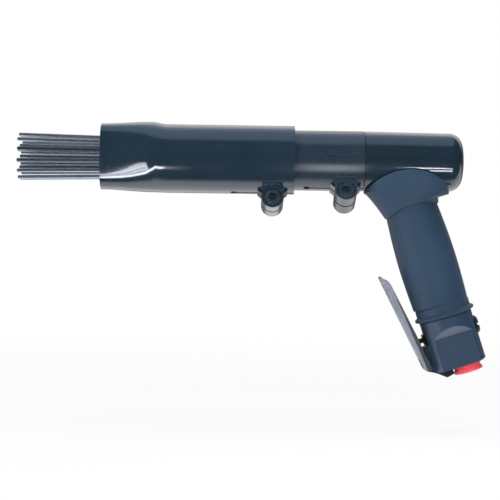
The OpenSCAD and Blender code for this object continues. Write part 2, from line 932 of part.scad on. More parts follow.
// Handle coverings
module saddle() {
    sides = 48;
    rows = [1, 0.95, 0.9, 0.85, saddle_lip + 0.05, saddle_lip, 0.7, 0.64, 0.58, 0.54, saddle_tip, 0.3, 0];
    rear = housing_rear + backhead_length - backhead_corner;
    color(grip_slate)
        difference() {
            intersection() {
                at_barrel() loft([for (u = rows) saddle_section(u, sides)]);
                at_barrel()
                    translate([saddle_arch_back, 0, -saddle_arch_drop - saddle_arch_r])
                        rotate([90, 0, 0])
                            cylinder(r = saddle_arch_r, h = 4 * housing_r, center = true, $fn = 128);
            }
            at_barrel()
                turned([
                    [0, housing_rear - 2 * past - saddle_toe],
                    [housing_r + 0.05, housing_rear - 2 * past - saddle_toe],
                    [housing_r + 0.05, housing_rear + past],
                    [backhead_rear_d / 2 + 0.05, rear],
                    [backhead_rear_d / 2 + 0.05, rear + backhead_corner],
                    [0, rear + backhead_corner]
                ]);
            seam_arch(fit);
            at_handle()
                translate([0, 0, -saddle_end - past])
                    cylinder(r = stem_r + fit, h = saddle_end + past);
        }
}

module grip() {
    sides = 48;
    rows = 10;
    color(grip_slate)
        difference() {
            intersection() {
                at_handle() loft([for (i = [rows : -1 : -1]) grip_section(i / rows, 0, sides)]);
                seam_arch(0);
            }
            at_handle()
                translate([0, 0, -grip_end - past])
                    cylinder(r = stem_r + fit, h = grip_end);
        }
}

module grip_collar() {
    r = collar_d / 2;
    bead_r = bead_d / 2;
    round = 1;
    bead_top = collar_end - bead_length;
    color(grip_slate)
        at_handle()
            rotate([180, 0, 0])
                rotate_extrude()
                    polygon([
                        [stem_r + fit, grip_end],
                        [r - round, grip_end],
                        [r, grip_end + round],
                        [r, bead_top],
                        [bead_r - round, bead_top],
                        [bead_r, bead_top + round],
                        [bead_r, collar_end - round],
                        [bead_r - round, collar_end],
                        [stem_r + fit, collar_end]
                    ]);
}

// Valve body: round block with milled flats, lever lug and foot, and drilled air ways
module valve_body() {
    flat = flats_width / 2;
    run_out = body_r - flat;
    edge = 0.8;
    color(body_slate)
        difference() {
            union() {
                at_handle()
                    rotate([180, 0, 0])
                        rotate_extrude()
                            polygon([
                                [0, body_top],
                                [body_r - edge, body_top],
                                [body_r, body_top + edge],
                                [body_r, body_end - edge],
                                [body_r - edge, body_end],
                                [0, body_end]
                            ]);
                lever_lug();
            }
            for (side = [-1, 1])
                at_handle()
                    scale([1, side, 1])
                        rotate([90, 0, 90])
                            translate([0, 0, -body_d])
                                linear_extrude(2 * body_d)
                                    polygon([
                                        [flat, -body_end - past],
                                        [flat, -flats_top],
                                        [body_r + past, -flats_top + run_out + past],
                                        [body_d, -flats_top + run_out + past],
                                        [body_d, -body_end - past]
                                    ]);
            at_handle()
                translate([0, 0, -stem_end - fit])
                    cylinder(r = stem_r + fit, h = body_end);
            at_throttle() {
                translate([0, 0, -body_d])
                    cylinder(d = bush_d + 2 * fit, h = body_d + seat_face - seat_length);
                translate([0, 0, seat_face - seat_length - past])
                    cylinder(d = bush_d - 1.2, h = seat_length + 2 * past);
                translate([0, 0, seat_face])
                    cylinder(d = chamber_d, h = body_d);
                translate([0, 0, chamber_rear])
                    cylinder(r = plug_thread_r + fit, h = body_d);
                translate([0, 0, spot_face])
                    cylinder(d = plug_head_d + 0.8, h = body_r);
            }
            at_handle()
                translate([seat_face - seat_length / 2, 0, -throttle_at])
                    cylinder(d = 4.4, h = throttle_at - stem_end + past);
            at_handle()
                translate([inlet_behind, 0, -body_end - past])
                    cylinder(d = inlet_bushing_d + 2 * fit, h = body_end + past - inlet_inner);
            at_handle()
                translate([inlet_behind, 0, -inlet_inner - past])
                    cylinder(r = passage_r, h = inlet_inner - throttle_at + past);
            at_pivot()
                rotate([90, 0, 0])
                    cylinder(d = pin_d + 2 * fit, h = lever_width, center = true);
        }
}

plug_thread_r = chamber_d / 2 + 0.8;

// Lug that carries the lever pin and runs on as a foot under the valve body
module lever_lug() {
    nose_r = 3.2;
    top = throttle_at + bush_d / 2 + 1;
    foot = inlet_mouth + 1.7;
    heel = cap_flange_d / 2 - inlet_behind + 0.6;
    at_handle()
        rotate([90, 0, 0])
            translate([0, 0, -lug_half_width])
                linear_extrude(2 * lug_half_width)
                    polygon(concat(
                        [
                            [-body_r + 6, -top],
                            [-body_r - 4, -top]
                        ],
                        arc([-pivot_ahead, -pivot_at], nose_r, 170, 240, 8),
                        [
                            [-body_r + 0.5, -body_end],
                            [-heel - 6, -foot],
                            [-heel, -foot + 1.3],
                            [-heel, -body_end + 4]
                        ]
                    ));
}

// Lever outline in the pivot frame, web line leaning away from the handle
function lever_length() = (pivot_at - lever_tip_at) / cos(lever_lean);

module lever_profile() {
    eye = lever_eye;
    tip = lever_length();
    polygon(concat(
        arc([0, 0], eye, 180, 320, 14),
        [
            [lever_depth - eye, 12],
            [lever_depth - eye + 0.6, 24],
            [lever_depth - eye, tip - 9]
        ],
        arc([lever_depth - eye - 9, tip - 9], 9, 20, 50, 6),
        [[-eye + 1, tip], [-eye, tip - 1]]
    ));
}

module lever() {
    eye = lever_eye;
    inner = lever_width / 2 - lever_sheet;
    color(bright_steel)
        at_pivot()
            rotate([0, -lever_lean, 0])
                difference() {
                    rotate([90, 0, 0])
                        translate([0, 0, -lever_width / 2])
                            linear_extrude(lever_width)
                                lever_profile();
                    translate([-eye + lever_sheet, -inner, -pivot_at])
                        cube([lever_depth * 2, 2 * inner, 2 * pivot_at]);
                    translate([-2 * eye, -inner, -pivot_at])
                        cube([lever_depth * 4, 2 * inner, pivot_at + pivot_at - web_end]);
                    rotate([90, 0, 0])
                        cylinder(d = pin_d + 0.12, h = 2 * lever_width, center = true);
                }
}

module lever_pin() {
    head = 0.8;
    color(bright_steel)
        at_pivot()
            rotate([90, 0, 0])
                cylinder(d = pin_d, h = lever_width + 2 * head, center = true);
}

module plunger_bush() {
    stand = body_r + bush_stand_out;
    flange_r = bush_d / 2 + 0.8;
    bore_r = plunger_d / 2 + 0.05;
    color(brass_gold)
        at_throttle()
            rotate_extrude()
                polygon([
                    [bore_r, -stand],
                    [flange_r - 0.4, -stand],
                    [flange_r, -stand + 0.4],
                    [flange_r, -body_r - 0.6],
                    [bush_d / 2, -body_r - 0.6],
                    [bush_d / 2, seat_face - seat_length - fit],
                    [bore_r, seat_face - seat_length - fit]
                ]);
}

// Plunger and valve in one, its rounded end just clear of the lever web
valve_head_length = 3.4;

module throttle_valve() {
    r = plunger_d / 2;
    head_r = chamber_d / 2 - 0.6;
    lift = 0.1;
    color(bright_steel)
        at_throttle()
            rotate_extrude()
                polygon([
                    [0, -plunger_reach],
                    [r - 0.8, -plunger_reach],
                    [r, -plunger_reach + 0.8],
                    [r, seat_face + lift],
                    [head_r, seat_face + lift],
                    [head_r, seat_face + lift + valve_head_length],
                    [r, seat_face + lift + valve_head_length],
                    [r, seat_face + lift + valve_head_length + 3],
                    [0, seat_face + lift + valve_head_length + 3]
                ]);
}

throttle_spring_wire = 0.8;
throttle_spring_front = seat_face + 0.1 + valve_head_length + fit;

module throttle_spring() {
    color(bright_steel)
        at_throttle()
            rotate([0, -90, 0])
                translate([throttle_spring_front, 0, 0])
                    coil(
                        plunger_d / 2 + throttle_spring_wire / 2 + 0.5, throttle_spring_wire, 3,
                        plug_front - fit - throttle_spring_front, 8, 6
                    );
}

module throttle_plug() {
    r = plug_head_d / 2;
    head = spot_face + washer_length + 2 * fit;
    slot = 2;
    color(black_oxide)
        at_throttle()
            difference() {
                rotate_extrude()
                    polygon([
                        [0, plug_front],
                        [plug_thread_r, plug_front],
                        [plug_thread_r, head],
                        [r, head],
                        [r, head + plug_head_length - 1],
                        [r - 1.4, head + plug_head_length],
                        [0, head + plug_head_length]
                    ]);
                translate([-slot / 2, -plug_head_d, head + plug_head_length - 1.6])
                    cube([slot, 2 * plug_head_d, plug_head_length]);
            }
}

module plug_washer() {
    color(rubber_black)
        at_throttle()
            translate([0, 0, spot_face + fit])
                difference() {
                    cylinder(d = plug_head_d - 0.4, h = washer_length);
                    translate([0, 0, -past])
                        cylinder(r = plug_thread_r + fit, h = washer_length + 2 * past);
                }
}

// Air inlet
module inlet_bushing() {
    edge = 0.8;
    color(dark_steel)
        at_inlet()
            difference() {
                union() {
                    translate([0, 0, edge])
                        cylinder(d = inlet_bushing_d, h = inlet_bushing_length - edge);
                    cylinder(d1 = inlet_bushing_d - 2 * edge, d2 = inlet_bushing_d, h = edge);
                }
                translate([0, 0, -past])
                    cylinder(d = inlet_bore_d, h = inlet_bushing_length + 2 * past);
            }
}

// Dust cap pushed over the bushing
module inlet_cap() {
    inner_r = inlet_bushing_d / 2 + 0.3;
    rib = 0.5;
    base = stop_gap;
    height = inlet_stand_out - 0.5;
    color(cap_red)
        at_inlet()
            difference() {
                union() {
                    translate([0, 0, -cap_end - base])
                        cylinder(d = cap_d, h = cap_end + base + height);
                    translate([0, 0, -cap_end - base])
                        cylinder(d = cap_flange_d, h = cap_end);
                    for (i = [0 : cap_ribs - 1])
                        rotate([0, 0, 360 * i / cap_ribs])
                            translate([cap_d / 2 - rib, -rib, -cap_end - base])
                                cube([2 * rib, 2 * rib, cap_end + base + height - 0.6]);
                }
                translate([0, 0, -base])
                    cylinder(r = inner_r, h = inlet_stand_out + 2 * past);
            }
}

// Assembly
front_tube();
tube_bush();
front_clamp_bolt();
needle_holder();
holder_spring();
barrel_housing();
rear_clamp_bolt();
hammer_barrel();
anvil_bush();
anvil();
piston();
valve_seat();
valve_disc();
valve_chest();
bumper();
backhead();
saddle();
grip();
grip_collar();
valve_body();
lever();
lever_pin();
plunger_bush();
throttle_valve();
throttle_spring();
throttle_plug();
plug_washer();
inlet_bushing();
inlet_cap();
for (i = [1 : NEEDLES]) {
    needle(i);
}
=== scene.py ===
import json
import math

import bpy
from mathutils import Euler, Matrix, Vector


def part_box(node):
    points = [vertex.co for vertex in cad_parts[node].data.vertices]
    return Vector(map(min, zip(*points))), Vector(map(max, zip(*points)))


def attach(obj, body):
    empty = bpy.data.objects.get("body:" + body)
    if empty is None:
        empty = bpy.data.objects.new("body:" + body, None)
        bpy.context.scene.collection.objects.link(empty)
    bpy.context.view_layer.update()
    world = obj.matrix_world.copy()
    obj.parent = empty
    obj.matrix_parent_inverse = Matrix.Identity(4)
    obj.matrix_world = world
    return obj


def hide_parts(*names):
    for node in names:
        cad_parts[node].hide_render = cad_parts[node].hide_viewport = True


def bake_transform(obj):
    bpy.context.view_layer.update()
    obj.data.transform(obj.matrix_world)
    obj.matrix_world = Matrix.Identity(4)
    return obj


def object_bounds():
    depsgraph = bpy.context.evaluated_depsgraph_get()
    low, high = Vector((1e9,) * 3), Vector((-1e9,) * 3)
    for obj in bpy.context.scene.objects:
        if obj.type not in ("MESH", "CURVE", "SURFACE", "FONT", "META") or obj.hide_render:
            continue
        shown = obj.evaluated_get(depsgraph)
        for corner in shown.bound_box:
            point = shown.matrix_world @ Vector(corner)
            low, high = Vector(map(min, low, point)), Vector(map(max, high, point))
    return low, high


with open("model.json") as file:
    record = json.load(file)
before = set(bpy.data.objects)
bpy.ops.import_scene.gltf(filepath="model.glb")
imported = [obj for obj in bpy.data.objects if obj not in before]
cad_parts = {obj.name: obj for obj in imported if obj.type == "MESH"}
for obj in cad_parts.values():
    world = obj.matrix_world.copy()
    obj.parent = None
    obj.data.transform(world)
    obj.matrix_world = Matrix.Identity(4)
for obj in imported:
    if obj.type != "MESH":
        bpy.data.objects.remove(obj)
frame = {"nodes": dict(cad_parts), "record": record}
cad_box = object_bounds()
nodes = frame["nodes"]
slot_of = {part["node"]: part["material_slot"] for part in frame["record"]["subparts"]}

# Point where the handle's axis crosses the barrel's axis, in metres
BARREL = Vector((-0.0259574, 0, 0.0798887))

# Directions of the raked handle, as unit vectors
HANDLE_TURN = Matrix.Rotation(math.radians(-18), 3, "Y")
HANDLE_FRONT = HANDLE_TURN @ Vector((-1, 0, 0))
HANDLE_REAR = HANDLE_TURN @ Vector((1, 0, 0))
HANDLE_DOWN = HANDLE_TURN @ Vector((0, 0, -1))

# Sizes of the part that the finishes and the added pieces follow, in metres, radians and turns
TUBE_R = 0.0263
HOUSING_R = 0.023
FRONT_LUG_X = -0.096
REAR_LUG_X = -0.0405
FRONT_ROLL = math.radians(13)
REAR_ROLL = math.radians(21)
LUG_DROP = 0.0065
PAD_R = 0.0109
PAD_HALF_WIDTH = 0.0132
# Plane past which the inside of the lever's channel gets painted shade
LEVER_INWARD = (0.911, 0, 0.411)
LEVER_INSIDE = -0.0341
# Planes past which the valve body's lug behind the lever and its foot get painted shade
VALVE_LUG_FRONT = 0.0189
VALVE_FOOT_DOWN = 0.0799
SPRING_WIRE = 0.0024
SPRING_TURNS = 6
THROTTLE_WIRE = 0.0008
THROTTLE_TURNS = 3
THROTTLE_COIL_R = 0.0029
THROTTLE_FRONT = 0.00054
THROTTLE_REAR = 0.01196
THROTTLE_DOWN = 0.137

# Sizes of the added wire and weld, in metres
CLOSED_GAP = 0.0006
BEAD_R = 0.00105
BEAD_START = 0.0065

# Fineness of the added round forms, as counts
COIL_STEPS = 40
WIRE_SIDES = 14
BEAD_STEPS = 150
BEAD_SIDES = 12
FLOOR_SIDES = 96

# The stage and the camera, in metres and radians
FLOOR_DROP = 0.044
FLOOR_X = -0.13
FLOOR_R = 9
CAMERA_AT = (-0.1384, -1.1, 0.0104)
CAMERA_HALF_VIEW = 0.1925
CAMERA_ROLL = math.radians(0.85)


def on_handle(across, side, down):
    """A point given across the handle to the rear, to the side, and down its axis."""
    return BARREL + HANDLE_TURN @ Vector((across, side, -down))


# Node tree helpers
def node(mat, kind, inputs=None, **settings):
    """A new shader node. Each input is a socket to link or a value to set."""
    made = mat.node_tree.nodes.new("ShaderNode" + kind)
    for key, value in settings.items():
        setattr(made, key, value)
    for key, value in (inputs or {}).items():
        if isinstance(value, bpy.types.NodeSocket):
            mat.node_tree.links.new(value, made.inputs[key])
        else:
            made.inputs[key].default_value = value
    return made


def material(name, **sockets):
    """A new material with constants set on its main shader."""
    mat = bpy.data.materials.new(name)
    mat.use_nodes = True
    shader = mat.node_tree.nodes["Principled BSDF"]
    for key, value in sockets.items():
        shader.inputs[key.replace("_", " ")].default_value = value
    return mat


def drive(mat, socket, value):
    """Link a value to a socket of the main shader."""
    shader = mat.node_tree.nodes["Principled BSDF"]
    mat.node_tree.links.new(value, shader.inputs[socket])


def place(mat, scale=(1, 1, 1), turn=(0, 0, 0)):
    """The piece's own coordinates, turned and scaled."""
    coords = node(mat, "TexCoord").outputs["Object"]
    return node(mat, "Mapping", {"Vector": coords, "Scale": scale, "Rotation": turn}).outputs["Vector"]


def noise(mat, where, scale, detail=3.0, rough=0.5):
    made = node(mat, "TexNoise", {"Vector": where, "Scale": scale, "Detail": detail, "Roughness": rough})
    return made.outputs["Fac"]


def spread(mat, value, low, high, to_low=0.0, to_high=1.0):
    made = node(mat, "MapRange", {
        "Value": value, "From Min": low, "From Max": high, "To Min": to_low, "To Max": to_high,
    })
    return made.outputs["Result"]


def swing(mat, value, to_low=0.0, to_high=1.0):
    """The middle of a noise, where most of its values lie, spread over a range."""
    return spread(mat, value, 0.3, 0.7, to_low, to_high)


def product(mat, a, b):
    return node(mat, "Math", {0: a, 1: b}, operation="MULTIPLY").outputs["Value"]


def total(mat, a, b):
    return node(mat, "Math", {0: a, 1: b}, operation="ADD").outputs["Value"]


def weighed(mat, first, share, second):
    """Two values in one, the first by its share and the second by the rest."""
    return total(mat, product(mat, first, share), product(mat, second, 1 - share))


def along(mat, vector, direction):
    """How far a vector reaches along a direction."""
    made = node(mat, "VectorMath", {0: vector, 1: direction}, operation="DOT_PRODUCT")
    return made.outputs["Value"]


def blend_colours(mat, share, first, second):
    inputs = {0: share}
    for index, colour in ((6, first), (7, second)):
        inputs[index] = (*colour, 1) if isinstance(colour, tuple) else colour
    return node(mat, "Mix", inputs, data_type="RGBA").outputs[2]


def tinted(mat, colour, share, most, tone):
    """A colour that goes over to a tone where the share is high, up to a most."""
    return blend_colours(mat, product(mat, share, most), colour, tone)


def bump(mat, height, strength, distance, under):
    made = node(mat, "Bump", {
        "Height": height, "Strength": strength, "Distance": distance, "Normal": under,
    })
    return made.outputs["Normal"]


def edges(mat, radius):
    """Share of wear along convex and concave edges, and the softened normal."""
    soft = node(mat, "Bevel", {"Radius": radius}, samples=6).outputs["Normal"]
    flat = node(mat, "NewGeometry").outputs["Normal"]
    return spread(mat, along(mat, soft, flat), 0.995, 0.86), soft


def beyond(mat, direction, start, blur):
    """Share that rises from 0 to 1 past a plane across the given direction, at rest."""
    spot = node(mat, "TexCoord").outputs["Object"]
    return spread(mat, along(mat, spot, direction), start, start + blur)


def facing(mat, direction):
    """Share of 1 on faces that look along the given direction."""
    normal = node(mat, "NewGeometry").outputs["True Normal"]
    return spread(mat, along(mat, normal, direction), 0.96, 0.985)


# Finishes
def enamel(name, dark, light, peel, gloss):
    """Gloss black paint with orange peel, dust specks and fine scuffs along the tool."""
    mat = material(name, IOR=1.65, Coat_Weight=1.0, Coat_Roughness=0.04)
    where = place(mat)
    cloud = noise(mat, where, 38, 4)
    speck = spread(mat, noise(mat, where, 2600, 2), 0.74, 0.8)
    scuff = spread(mat, noise(mat, place(mat, (45, 900, 900)), 1.6, 3), 0.66, 0.74)
    worn, soft = edges(mat, 0.0006)
    ragged = product(mat, worn, spread(mat, noise(mat, where, 420, 4), 0.45, 0.62))
    colour = blend_colours(mat, cloud, dark, light)
    colour = tinted(mat, colour, speck, 0.12, (0.16, 0.18, 0.2))
    colour = tinted(mat, colour, scuff, 0.06, (0.16, 0.17, 0.19))
    drive(mat, "Base Color", tinted(mat, colour, ragged, 0.35, (0.2, 0.21, 0.23)))
    rough = swing(mat, cloud, gloss, gloss + 0.07)
    drive(mat, "Roughness", total(mat, rough, product(mat, scuff, 0.16)))
    drive(mat, "Normal", bump(mat, noise(mat, where, peel, 2), 0.05, 0.0004, soft))
    return mat


def turned_metal(name, dark, light, low, high, lines):
    """Bare metal with tool marks round its axis, in bands of slightly different tone."""
    mat = material(name, Metallic=1.0, Anisotropic=0.35)
    marks = noise(mat, place(mat, (lines, 12, 12)), 1.0, 4, 0.65)
    cloud = noise(mat, place(mat), 55, 4)
    worn, soft = edges(mat, 0.0005)
    tone = weighed(mat, marks, 0.5, cloud)
    colour = blend_colours(mat, spread(mat, tone, 0.34, 0.66), dark, light)
    bright = tuple(min(1, 1.8 * x + 0.06) for x in light)
    drive(mat, "Base Color", tinted(mat, colour, worn, 0.45, bright))
    drive(mat, "Roughness", swing(mat, tone, low, high))
    drive(mat, "Normal", bump(mat, marks, 0.12, 0.0002, soft))
    return mat


def blued_tube(name):
    """Dark blued tube, satin, with faint draw lines along it and paler rubbed edges."""
    mat = material(name, IOR=1.7, Coat_Weight=0.6, Coat_Roughness=0.2)
    drawn = noise(mat, place(mat, (9, 620, 620)), 1.0, 4, 0.6)
    cloud = noise(mat, place(mat), 70, 4)
    worn, soft = edges(mat, 0.0005)
    tone = weighed(mat, drawn, 0.7, cloud)
    colour = blend_colours(mat, swing(mat, tone), (0.014, 0.029, 0.046), (0.02, 0.038, 0.057))
    drive(mat, "Base Color", tinted(mat, colour, worn, 0.4, (0.2, 0.22, 0.26)))
    drive(mat, "Roughness", swing(mat, tone, 0.22, 0.3))
    drive(mat, "Normal", bump(mat, drawn, 0.05, 0.0002, soft))
    return mat


def drawn_steel(name):
    """Bright drawn wire, each piece in its own tone, clouded by handling."""
    mat = material(name, Metallic=0.9)
    where = place(mat)
    own = spread(mat, node(mat, "ObjectInfo").outputs["Random"], 0.0, 1.0, 0.45, 1.35)
    drawn = noise(mat, place(mat, (4, 420, 420)), 1.0, 1)
    smear = spread(mat, noise(mat, where, 90, 2), 0.56, 0.72)
    colour = blend_colours(mat, swing(mat, drawn), (0.45, 0.525, 0.635), (0.61, 0.69, 0.8))
    colour = tinted(mat, colour, smear, 0.1, (0.1, 0.105, 0.115))
    toned = node(mat, "VectorMath", {0: colour, "Scale": own}, operation="SCALE").outputs["Vector"]
    drive(mat, "Base Color", toned)
    drive(mat, "Roughness", swing(mat, noise(mat, where, 60, 1), 0.21, 0.34))
    return mat


def plated(name):
    """Satin plated pressed steel, brushed along the lever, with painted shade in the channel and brighter
    edges.
    """
    mat = material(name, Metallic=0.3)
    brushed = noise(mat, place(mat, (1400, 1400, 30), (0, math.radians(-27), 0)), 1.0, 3, 0.6)
    cloud = noise(mat, place(mat), 90, 4)
    worn, soft = edges(mat, 0.0005)
    # Painted shade: past the plane of the plate, the inside of the channel is tinted dark
    channel_shade = beyond(mat, LEVER_INWARD, LEVER_INSIDE, 0.0006)
    colour = blend_colours(mat, swing(mat, cloud), (0.25, 0.272, 0.325), (0.33, 0.355, 0.41))
    colour = tinted(mat, colour, worn, 0.5, (0.86, 0.88, 0.92))
    drive(mat, "Base Color", tinted(mat, colour, channel_shade, 0.85, (0.03, 0.042, 0.056)))
    drive(mat, "Roughness", swing(mat, brushed, 0.34, 0.48))
    drive(mat, "Normal", bump(mat, brushed, 0.08, 0.0002, soft))
    return mat


def oxide(name):
    """Black oxide with an oily sheen and rubbed edges."""
    mat = material(name, IOR=1.7)
    where = place(mat)
    cloud = noise(mat, where, 240, 4)
    worn, soft = edges(mat, 0.0004)
    colour = blend_colours(mat, swing(mat, cloud), (0.012, 0.027, 0.041), (0.023, 0.045, 0.064))
    drive(mat, "Base Color", tinted(mat, colour, worn, 0.35, (0.22, 0.23, 0.25)))
    drive(mat, "Roughness", swing(mat, cloud, 0.26, 0.42))
    drive(mat, "Normal", bump(mat, noise(mat, where, 1500, 2), 0.06, 0.0002, soft))
    return mat


def moulded(name, dark, light, low, high, grain, depth, sheen=0.0, ior=1.45, painted_shades=(), painted_light_faces=()):
    """Moulded rubber or coated alloy with a fine grain, painted shade past the given planes and painted light
    on faces looking along the given directions.
    """
    mat = material(name, IOR=ior, Sheen_Weight=sheen, Sheen_Roughness=0.45)
    where = place(mat)
    cloud = noise(mat, where, 26, 3)
    fine = noise(mat, where, grain, 3, 0.6)
    worn, soft = edges(mat, 0.0006)
    tone = weighed(mat, cloud, 0.6, fine)
    colour = blend_colours(mat, spread(mat, tone, 0.32, 0.68), dark, light)
    colour = tinted(mat, colour, worn, 0.3, tuple(1.7 * x + 0.008 for x in light))
    # Painted shade: tinted dark past each given plane
    for direction, start in painted_shades:
        colour = tinted(mat, colour, beyond(mat, direction, start, 0.0008), 0.8, (0.006, 0.014, 0.02))
    # Painted light: paler on faces that look along each given direction
    for direction in painted_light_faces:
        colour = blend_colours(mat, facing(mat, direction), colour, (0.098, 0.132, 0.185))
    drive(mat, "Base Color", colour)
    drive(mat, "Roughness", swing(mat, cloud, low, high))
    drive(mat, "Normal", bump(mat, fine, depth, 0.0003, soft))
    return mat


finishes = {
    "black_paint": enamel("gloss_black_paint", (0.0107, 0.026, 0.042), (0.0158, 0.035, 0.054), 650, 0.12),
    "black_cast": enamel("gloss_black_casting", (0.009, 0.022, 0.034), (0.013, 0.029, 0.044), 420, 0.1),
    "housing_steel": blued_tube("dark_blued_steel"),
    "machined_steel": turned_metal(
        "machined_steel", (0.3, 0.31, 0.33), (0.46, 0.47, 0.49), 0.24, 0.38, 2200),
    "needle_steel": drawn_steel("drawn_needle_steel"),
    "plated_steel": plated("satin_plated_steel"),
    "black_oxide": oxide("black_oxide_steel"),
    "grip_rubber": moulded(
        "slate_rubber", (0.0195, 0.045, 0.083), (0.0265, 0.0595, 0.1065), 0.5, 0.64, 2400, 0.22, sheen=0.1),
    # Painted shade on the lug behind the lever and on the foot; painted light on the run-outs of the flat
    "body_alloy": moulded(
        "slate_coated_alloy", (0.0195, 0.0465, 0.089), (0.027, 0.0595, 0.1095), 0.36, 0.44, 1500, 0.1,
        ior=1.75,
        painted_shades=((HANDLE_FRONT, VALVE_LUG_FRONT), (HANDLE_DOWN, VALVE_FOOT_DOWN)),
        # Painted light: the run-out faces of the flat, looking down and out, are made paler
        painted_light_faces=[(HANDLE_DOWN + Vector((0, side, 0))).normalized() for side in (-1, 1)]),
    "brass": turned_metal("turned_brass", (0.42, 0.26, 0.1), (0.62, 0.42, 0.19), 0.22, 0.34, 1800),
    "black_rubber": moulded(
        "black_rubber", (0.01, 0.011, 0.013), (0.018, 0.019, 0.022), 0.55, 0.7, 1800, 0.2),
    "bush_plastic": moulded(
        "black_sleeve_plastic", (0.012, 0.014, 0.017), (0.02, 0.022, 0.026), 0.4, 0.5, 1500, 0.1),
    "cap_red": moulded(
        "red_cap_plastic", (0.95, 0.085, 0.115), (0.99, 0.135, 0.17), 0.26, 0.36, 1600, 0.06),
}


# Carried-over pieces keep their CAD shape, with smooth curves and the finish of their slot
def smooth(piece):
    marks = piece.data.attributes.get("custom_normal")
    if marks:
        piece.data.attributes.remove(marks)
    piece.data.shade_smooth()
    weld = piece.modifiers.new("join", "WELD")
    weld.merge_threshold = 0.00001


def soften(piece, width):
    flat = piece.modifiers.new("flats", "DECIMATE")
    flat.decimate_type = "DISSOLVE"
    flat.angle_limit = math.radians(0.4)
    edge = piece.modifiers.new("edges", "BEVEL")
    edge.width = width
    edge.segments = 2
    edge.limit_method = "ANGLE"
    edge.angle_limit = math.radians(32)
    edge.miter_outer = "MITER_ARC"
    edge.harden_normals = True
    even = piece.modifiers.new("even", "WEIGHTED_NORMAL")
    even.keep_sharp = True


# Width of the softened edges, in metres
SOFTENED = {
    "front_tube": 0.0004, "barrel_housing": 0.0003, "backhead": 0.0004, "saddle": 0.0005, "grip": 0.0005,
    "grip_collar": 0.0004, "valve_body": 0.0005, "lever": 0.0003, "lever_pin": 0.0002,
    "plunger_bush": 0.0002, "throttle_plug": 0.0003, "inlet_bushing": 0.0002, "inlet_cap": 0.0003,
    "front_clamp_bolt": 0.0003, "rear_clamp_bolt": 0.0003,
}

for name, piece in nodes.items():
    piece.data.materials.clear()
    piece.data.materials.append(finishes[slot_of[name]])
    smooth(piece)
    if name in SOFTENED:
        soften(piece, SOFTENED[name])


# Added pieces
def mesh_piece(name, points, faces, finish):
    mesh = bpy.data.meshes.new(name)
    mesh.from_pydata(points, [], faces)
    mesh.update()
    mesh.shade_smooth()
    made = bpy.data.objects.new(name, mesh)
    bpy.context.scene.collection.objects.link(made)
    mesh.materials.append(finishes[finish])
    return made


def round_about(count):
    """Angles of evenly spaced points round a circle."""
    return [2 * math.pi * i / count for i in range(count)]


def swept(rings):
    """Points and faces of a closed skin through rings of points."""
    count = len(rings[0])
    points = [point for ring in rings for point in ring]
    faces = [
        (count * i + k, count * i + (k + 1) % count, count * (i + 1) + (k + 1) % count, count * (i + 1) + k)
        for i in range(len(rings) - 1)
        for k in range(count)
    ]
    faces.append(tuple(range(count))[::-1])
    faces.append(tuple(range(len(points) - count, len(points))))
    return points, faces


def coil(start, axis, mean_r, wire, turns, length):
    """Rings along the wire of a compression spring with one closed turn at each end."""
    side = Vector((0, 1, 0))
    axis = axis.normalized()
    up = axis.cross(side).normalized()
    closed = wire + CLOSED_GAP
    pitch = (length - wire - 2 * closed) / turns
    rings = []
    for k in range(COIL_STEPS * (turns + 2) + 1):
        turn = k / COIL_STEPS
        run = turn * closed
        if turn > turns + 1:
            run = closed + turns * pitch + (turn - turns - 1) * closed
        elif turn > 1:
            run = closed + (turn - 1) * pitch
        out = side * math.cos(2 * math.pi * turn) + up * math.sin(2 * math.pi * turn)
        centre = start + axis * (wire / 2 + run) + out * mean_r
        rings.append([
            centre + (axis * math.cos(a) + out * math.sin(a)) * wire / 2 for a in round_about(WIRE_SIDES)
        ])
    return rings


def spring_length(name, rings, stands_for):
    """A length of spring in place of a hidden CAD spring, fixed where it lies at rest."""
    made = mesh_piece(name, *swept(rings), "needle_steel")
    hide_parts(stands_for)
    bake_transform(made)


# The needle return spring is two lengths that meet at a fixed middle
spring_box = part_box("holder_spring")
spring_front = Vector((spring_box[0].x, 0, BARREL.z))
spring_rear = Vector((spring_box[1].x, 0, BARREL.z))
rearward = Vector((1, 0, 0))
spring_rings = coil(
    spring_front, rearward, spring_box[1].y - SPRING_WIRE / 2, SPRING_WIRE, SPRING_TURNS,
    spring_rear.x - spring_front.x)
middle = len(spring_rings) // 2
spring_length(
    "needle_return_spring_front", spring_rings[:middle + 1], "holder_spring")
spring_length(
    "needle_return_spring_rear", spring_rings[middle:], "holder_spring")

# The throttle spring lies across the handle, behind the head of the throttle valve
spring_length(
    "throttle_return_spring",
    coil(
        on_handle(THROTTLE_FRONT, 0, THROTTLE_DOWN), HANDLE_REAR, THROTTLE_COIL_R, THROTTLE_WIRE,
        THROTTLE_TURNS, THROTTLE_REAR - THROTTLE_FRONT),
    "throttle_spring")


def pad_outline(r):
    """Edge of one half of a lug's pad on a tube, seen from below, from its front round to its rear."""
    across = [BEAD_START + (PAD_HALF_WIDTH - BEAD_START) * i / 40 for i in range(41)]

    def edge(y):
        return math.sqrt(PAD_R ** 2 - (r + LUG_DROP - math.sqrt(r * r - y * y)) ** 2)

    corner = edge(PAD_HALF_WIDTH)
    outline = [Vector((-edge(y), y)) for y in across]
    outline += [Vector((corner * i / 20, PAD_HALF_WIDTH)) for i in range(-19, 20)]
    outline += [Vector((edge(y), y)) for y in reversed(across)]
    return outline


def evenly(outline, count):
    """Points at even steps along an outline."""
    runs = [0.0]
    for first, second in zip(outline, outline[1:]):
        runs.append(runs[-1] + (second - first).length)
    points = []
    k = 0
    for i in range(count + 1):
        want = runs[-1] * i / count
        while k < len(runs) - 2 and runs[k + 1] < want:
            k += 1
        share = (want - runs[k]) / (runs[k + 1] - runs[k])
        points.append(outline[k].lerp(outline[k + 1], share))
    return points


